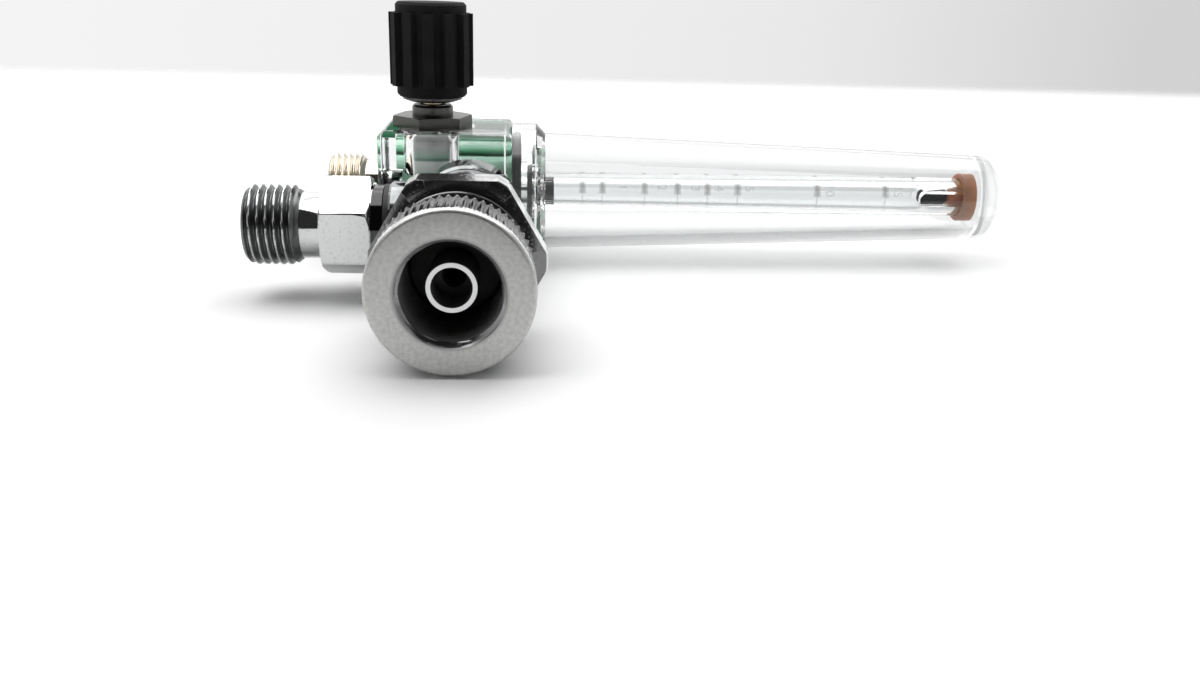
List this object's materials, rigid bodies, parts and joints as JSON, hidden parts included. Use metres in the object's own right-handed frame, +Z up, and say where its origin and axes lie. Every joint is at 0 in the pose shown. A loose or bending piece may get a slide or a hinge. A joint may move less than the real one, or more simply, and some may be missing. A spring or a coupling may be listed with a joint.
{
  "type": "oxygen flowmeter",
  "caption": "Clear-bodied gas flowmeter lying on its side, with tapered cover tube, ribbed control knob, knurled swivel inlet nut and threaded outlets.",
  "frame": {"origin": "centre of the swivel nut's mouth, on the inlet's axis", "axes": "+X along the metering tube towards its closed end, +Y from the nut's mouth into the instrument, +Z up to the control knob as it lies"},
  "size_m": [0.1478, 0.0884, 0.0507],
  "materials": {
    "clear_plastic": "clear, polished",
    "green_label": "printed film",
    "black_rubber": "smooth",
    "brown_silicone": "smooth",
    "black_plastic": "moulded, fine texture",
    "bare_brass": "machined, pale",
    "nickel_plate": "dull nickel plate",
    "satin_chrome": "worn satin chrome plate",
    "bright_chrome": "bright chrome plate",
    "sintered_bronze": "sintered, grainy"
  },
  "bodies": {
    "main": {"body_block": "clear_plastic", "face_label": "green_label", "tube_cover": "clear_plastic", "cover_o_ring": "black_rubber", "metering_tube": "clear_plastic", "tube_o_ring": "black_rubber", "float_stop": "black_rubber", "tube_cap": "brown_silicone", "valve_seat": "bare_brass", "bonnet_washer": "black_rubber", "valve_bonnet": "nickel_plate", "inlet_nipple": "bright_chrome", "inlet_filter": "sintered_bronze", "inlet_adapter": "bright_chrome", "side_washer": "black_rubber", "side_fitting": "bright_chrome", "outlet_stub": "bare_brass"},
    "nut": {"swivel_nut": "satin_chrome"},
    "float": {"float_bobbin": "black_plastic"},
    "stem_seal": {"stem_o_ring": "black_rubber"},
    "valve_stem": {"needle_spindle": "bare_brass", "knob_insert": "nickel_plate", "control_knob": "black_plastic"}
  },
  "joints": [
    {"name": "nut_spin", "type": "hinge", "parent": "main", "child": "nut", "pos_m": [0, 0.0125, 0], "axis": [0, 1, 0], "continuous": true},
    {"name": "float_slide", "type": "slide", "parent": "main", "child": "float", "axis": [1, 0, 0], "range_m": [-0.0769, 0]},
    {"name": "stem_lift", "type": "slide", "parent": "main", "child": "stem_seal", "axis": [0, 0, 1], "range_m": [0, 0.00125]},
    {"name": "knob_turn", "type": "hinge", "parent": "stem_seal", "child": "valve_stem", "pos_m": [-0.008, 0.0747, 0.02], "axis": [0, 0, 1], "range_deg": [0, 540]}
  ],
  "couplings": [
    {"joint": "stem_lift", "follows": "knob_turn", "m_per_rad": 0.00012732}
  ]
}
